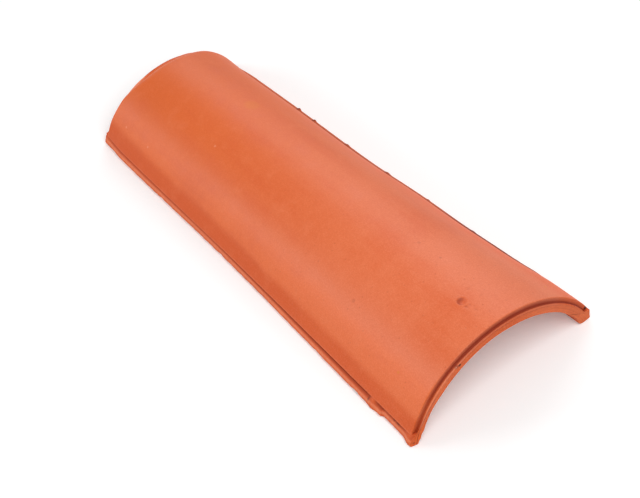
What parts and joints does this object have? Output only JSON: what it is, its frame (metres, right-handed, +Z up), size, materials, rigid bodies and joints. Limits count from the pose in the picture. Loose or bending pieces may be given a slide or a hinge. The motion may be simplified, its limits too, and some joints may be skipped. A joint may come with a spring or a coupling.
{
  "type": "clay roof tile",
  "caption": "Tapered half-round barrel roof tile of fired clay with stepped end rims and a foot lip along each side; laid in overlapping courses to shed rain.",
  "frame": {"origin": "centre of the tile's bounding box at floor level, midway between the two feet", "axes": "+X along the tile towards its wide end, +Y across it, +Z up from the floor to the crown"},
  "size_m": [0.4515, 0.1924, 0.0698],
  "materials": {
    "fired_clay": "matte"
  },
  "bodies": {
    "root": {"barrel_tile": "fired_clay"}
  },
  "joints": []
}
